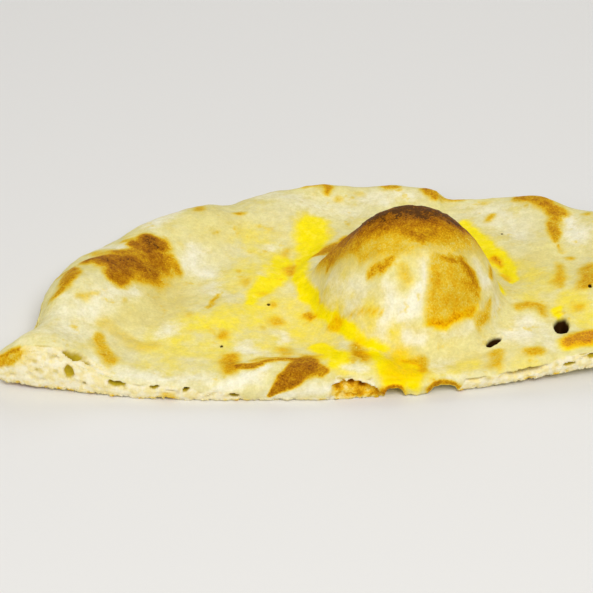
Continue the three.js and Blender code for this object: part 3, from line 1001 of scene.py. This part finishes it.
def baked_dough():
    """Crust, toasted patches, melted butter, flour dust and open crumb in one material, with painted
    shade in the crumb's hollows and the holes, and painted light on the blister's shaded flank.
    """
    paint = Paint("baked_dough")
    broad = paint.noise(18, 3)
    middle = paint.noise(6, 4, 0.6)
    small = paint.noise(2.4, 3)
    grain = paint.noise(0.8, 3, 0.6)
    crust = paint.mix(paint.span(broad, 0.35, 0.65), CREAM, CREAM_WARM)
    crust = paint.mix(paint.span(middle, 0.42, 0.70, 0.0, 0.55), crust, GLASSY_DOUGH)
    crust = paint.mix(paint.value("glassy"), crust, GLASSY_DOUGH)

    # The butter and flour values also carry painted light on the blister's shaded left flank.
    uneven = paint.centred(middle, 0.9)
    wet = paint.total(paint.value("butter_and_light"), uneven)
    crust = paint.mix(paint.span(wet, 0.0, 0.60), crust, BUTTER_PALE)
    crust = paint.mix(paint.span(wet, 0.42, 0.84), crust, BUTTER_YELLOW)

    patchy = paint.math("MULTIPLY", uneven, -0.8)
    dust = (paint.value("flour_and_light"), patchy, paint.centred(small, 0.5), paint.centred(grain, 0.3))
    dusty = paint.total(*dust)
    crust = paint.mix(paint.span(dusty, 0.0, 1.1, 0.0, 0.95), crust, FLOUR_WHITE)

    toast = paint.value("toast")
    freckles = paint.span(paint.noise(6.5, 3, 0.6), 0.60, 0.78, 0.0, 0.26)
    toast = paint.math("MAXIMUM", toast, freckles)
    blotches = (paint.centred(small, 0.56), paint.math("MULTIPLY", uneven, 0.35))
    speckle = paint.centred(paint.noise(1.3, 5, 0.7, 1.6), 0.9)
    grainy = paint.centred(paint.noise(0.6, 2, 0.6), 0.5)
    blotchy = paint.total(*blotches, speckle, grainy)
    present = paint.span(toast, 0.0, 0.60)
    browned = paint.math("MULTIPLY_ADD", blotchy, present, toast, clamp=True)
    crust = paint.mix(1.0, crust, paint.ramp(browned, TOAST_TINTS), "MULTIPLY")

    crumb_shade_and_tone = paint.value("crumb_shade_and_tone")
    crumb = paint.mix(paint.span(small, 0.35, 0.65), CRUMB_WHITE, CRUMB_CREAM)
    # Painted shade: the crumb turns olive, then dark brown, in its deeper hollows and under the
    # skin's edge.
    crumb = paint.mix(paint.span(crumb_shade_and_tone, 0.08, 0.42), crumb, CRUMB_OLIVE_SHADE)
    crumb = paint.mix(paint.span(crumb_shade_and_tone, 0.55, 0.95), crumb, CRUMB_DEEP_SHADE)
    scorch = paint.value("scorch")
    scorch = paint.math("MULTIPLY_ADD", speckle, paint.span(scorch, 0.0, 0.4), scorch, clamp=True)
    scorched = paint.ramp(scorch, TOAST_TINTS)
    crumb = paint.mix(1.0, crumb, scorched, "MULTIPLY")
    colour = paint.mix(paint.value("crumb"), crust, crumb)

    # Painted shade inside the steam holes.
    colour = paint.mix(paint.span(paint.value("hole_shade"), 0.15, 0.75), colour, HOLE_SHADE)
    fine_mottle = paint.span(grain, 0.28, 0.72, 0.94, 1.04)
    mottle = paint.math("MULTIPLY", fine_mottle, paint.span(small, 0.3, 0.7, 0.95, 1.04))
    colour = paint.mix(1.0, colour, mottle, "MULTIPLY")

    gloss = paint.span(wet, 0.10, 0.90, 0.50, 0.30)
    gloss = paint.total(gloss, paint.span(dusty, 0.2, 0.9, 0.0, 0.30))
    gloss = paint.math("ADD", gloss, paint.math("MULTIPLY", paint.value("crumb"), 0.25), clamp=True)

    pores = paint.bump(paint.noise(0.5, 3, 0.6), 0.40, 0.12)
    folds = paint.bump(paint.noise(1.8, 4, 0.55, 0.6), 0.45, 0.30, pores)
    soft = {"Weight": 0.06, "Radius": (1.0, 0.62, 0.25), "Scale": 1.5 * MM}
    inputs = {"Subsurface " + name: value for name, value in soft.items()}
    inputs.update({"Base Color": colour, "Roughness": gloss})
    inputs.update({"Specular IOR Level": 0.03, "Normal": folds})
    return paint.finish(inputs)


def pale_table():
    return Paint("pale_table").finish({"Base Color": srgb(232, 230, 226), "Roughness": 0.75})


# ----------------------------------------------------------
# Torn shreds of crumb

LUMPS = {"per_square_metre": 420000.0, "size": 0.42, "seed": 7}


def crumb_shreds():
    """A tree that strews small soft lumps over the torn crumb and joins them to the bread."""
    tree = bpy.data.node_groups.new("crumb shreds", "GeometryNodeTree")
    for name, way, kind in (
        ("Geometry", "INPUT", "Geometry"),
        ("Lumps per Square Metre", "INPUT", "Float"),
        ("Lump Size", "INPUT", "Float"),
        ("Seed", "INPUT", "Int"),
        ("Material", "INPUT", "Material"),
        ("Geometry", "OUTPUT", "Geometry"),
    ):
        tree.interface.new_socket(name, in_out=way, socket_type="NodeSocket" + kind)

    def add(kind, inputs, **settings):
        return add_node(tree, kind, inputs, **settings)

    def random_vector(low, high):
        inputs = {"Min": low, "Max": high, "Seed": given["Seed"]}
        made = add("FunctionNodeRandomValue", inputs, data_type="FLOAT_VECTOR")
        return made.outputs["Value"]

    given = add("NodeGroupInput", {}).outputs
    torn = add("GeometryNodeInputNamedAttribute", {"Name": "torn"}, data_type="FLOAT")
    amounts = {0: torn.outputs["Attribute"], 1: given["Lumps per Square Metre"]}
    density = add("ShaderNodeMath", amounts, operation="MULTIPLY")
    strewn = add(
        "GeometryNodeDistributePointsOnFaces",
        {"Mesh": given["Geometry"], "Density": density.outputs[0], "Seed": given["Seed"]},
    )
    lump = add("GeometryNodeMeshIcoSphere", {"Radius": 1.0, "Subdivisions": 1})
    stretch = random_vector((0.5, 0.25, 0.25), (1.7, 0.7, 0.8))
    sizes = {0: stretch, "Scale": given["Lump Size"]}
    size = add("ShaderNodeVectorMath", sizes, operation="SCALE")
    turn = random_vector((-0.5, -0.5, -0.5), (0.5, 0.5, 0.5))
    placed = add(
        "GeometryNodeInstanceOnPoints",
        {
            "Points": strewn.outputs["Points"],
            "Instance": lump.outputs["Mesh"],
            "Rotation": turn,
            "Scale": size.outputs["Vector"],
        },
    )
    joined = add("GeometryNodeJoinGeometry", {"Geometry": placed.outputs["Instances"]})
    tree.links.new(given["Geometry"], joined.inputs["Geometry"])
    real = add("GeometryNodeRealizeInstances", {"Geometry": joined.outputs["Geometry"]})
    finish = {"Geometry": real.outputs["Geometry"], "Material": given["Material"]}
    painted = add("GeometryNodeSetMaterial", finish)
    add("NodeGroupOutput", {"Geometry": painted.outputs["Geometry"]})
    return tree


def strew_shreds(mesh, material):
    """The bread's mesh with the lumps added, as one plain mesh."""
    maker = in_scene("strewing", mesh)
    modifier = maker.modifiers.new("crumb shreds", "NODES")
    modifier.node_group = crumb_shreds()
    sizes = {
        "Lumps per Square Metre": LUMPS["per_square_metre"],
        "Lump Size": LUMPS["size"] * MM,
        "Seed": LUMPS["seed"],
        "Material": material,
    }
    for socket in modifier.node_group.interface.items_tree:
        if socket.in_out == "INPUT" and socket.name in sizes:
            modifier[socket.identifier] = sizes[socket.name]
    strewn = plain_mesh(maker)
    bpy.data.objects.remove(maker)
    for vertex in strewn.vertices:
        vertex.co.z = max(vertex.co.z, 0)
    return strewn


# ----------------------------------------------------------
# Assembly


def within_pocket(pocket):
    """1 inside the torn pocket, from its depth."""
    return np.clip(pocket / 1.6, 0, 1)


def paint_skin(bread, bake, pocket, painted_hole_shade):
    """Stores the bake, which stops at the torn pocket, and the painted shade inside the holes."""
    for name, values in bake.items():
        bread.paint(name, values * (1 - within_pocket(pocket)))
    bread.paint("hole_shade", painted_hole_shade)


def paint_crumb(bread, bubbles, pocket, arches):
    """Stores where the crumb is open, painted shade in its hollows and under the skin's edge with
    random olive patches, where it is singed and where it is torn.
    """
    in_pocket = within_pocket(pocket)
    deep_pocket = step(pocket, 2.6, 4.4)
    bread.paint("crumb", np.maximum(bread.bare, in_pocket))
    broken = step(drift(bread.start, 5.0, 83), -0.3, 0.3)
    # Painted shade: a dark line just under the skin's edge, where it overhangs the crumb.
    shade_under_skin_edge = np.exp(-((bread.past_skin / 0.55) ** 2)) * broken
    shade_under_skin_edge *= 0.34 * (bread.bare > 0)
    # Random olive patches on the upper part of the cut.
    olive_patches = 0.26 * step(drift(bread.start, 3.4, 84), 0.05, 0.6) * step(bread.share, 0.2, 0.6)
    # Painted shade grows with the depth of bubbles, slits and the torn pocket.
    shade_and_patches = np.maximum.reduce([bubbles / 3.2, shade_under_skin_edge, 0.5 * deep_pocket, olive_patches])
    bread.paint("crumb_shade_and_tone", shade_and_patches)
    torn = 0.40 + 0.36 * drift(bread.start, 2.2, 81) + 0.34 * deep_pocket
    singed = 0.55 * step(arches, 0.3, 1.6) * step(bread.up, 4.0, 2.0) * (bread.on_cut > 0)
    flecks = 0.5 * step(drift(bread.start, 2.6, 82), 0.15, 0.5) * np.exp(-((bread.up / 0.9) ** 2))
    flecks *= bread.on_cut > 0
    tip = 0.30 * step(bread.x, -110.0, -119.0) * step(bread.share, 0.5, 0.85)
    bread.paint("scorch", np.maximum.reduce([in_pocket * torn, singed, flecks, tip]))
    edges = np.exp(-(bread.up**2)) + np.exp(-(bread.from_edge**2))
    bread.paint("torn", bread.bare * (0.15 + 0.5 * edges) * (1 - in_pocket) + 0.9 * in_pocket)


def make_bread(node):
    """The baked bread as one object, from the plain solid."""
    body = four_sided_copy(node)
    mark_cut(body)
    mesh = refine(body, SKIN_LEVELS)
    refine_details(mesh)
    bread = Surface(mesh)
    bake = paint_bake(bread)
    bubbles, pocket = shape_cut(bread)
    arches = lift_arches(bread)
    painted_hole_shade = sink_holes(bread)
    press_furrows(bread)
    push_about(bread)
    raise_skin(bread, bake["toast"])
    bread.store()
    paint_skin(bread, bake, pocket, painted_hole_shade)
    paint_crumb(bread, bubbles, pocket, arches)
    mesh = strew_shreds(mesh, baked_dough())
    mesh.name = "naan_bread_baked"
    mesh.polygons.foreach_set("use_smooth", [True] * len(mesh.polygons))
    mesh.update()
    return in_scene("naan_bread_baked", mesh)


def make_table():
    half = TABLE_HALF
    corners = [(-half, -half, 0), (half, -half, 0), (half, half, 0), (-half, half, 0)]
    mesh = bpy.data.meshes.new("table_top")
    mesh.from_pydata(corners, [], [(0, 1, 2, 3)])
    mesh.materials.append(pale_table())
    return in_scene("table_top", mesh)


def make_camera():
    """A long lens that looks down on the cut, with the left tip just at the edge of the view."""
    target = Vector(CAMERA_AIM) * MM
    down = math.radians(CAMERA_DOWN)
    back = Vector((0, -math.cos(down), math.sin(down)))
    data = bpy.data.cameras.new("camera")
    data.lens = CAMERA_LENS
    data.sensor_width = 36
    data.clip_end = 20
    camera = in_scene("camera", data)
    camera.location = target + back * CAMERA_AWAY
    camera.rotation_euler = back.to_track_quat("Z", "Y").to_euler()
    bpy.context.scene.camera = camera


def make_light(name, place, size, power):
    data = bpy.data.lights.new(name, "AREA")
    data.shape = "DISK"
    data.size = size
    data.energy = power
    lamp = in_scene(name, data)
    lamp.location = place
    aim = Vector(LIGHT_AIM) - Vector(place)
    lamp.rotation_euler = aim.to_track_quat("-Z", "Y").to_euler()


def make_studio():
    world = bpy.data.worlds.new("studio")
    world.use_nodes = True
    sky = world.node_tree.nodes["Background"].inputs
    sky["Color"].default_value = (1, 1, 1, 1)
    sky["Strength"].default_value = SKY_STRENGTH
    bpy.context.scene.world = world
    for light in LIGHTS:
        make_light(*light)
    bpy.context.scene.view_settings.view_transform = "Standard"


bread = make_bread(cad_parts["naan_bread"])
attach(bread, "root")
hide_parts("naan_bread")
make_table()
make_camera()
make_studio()
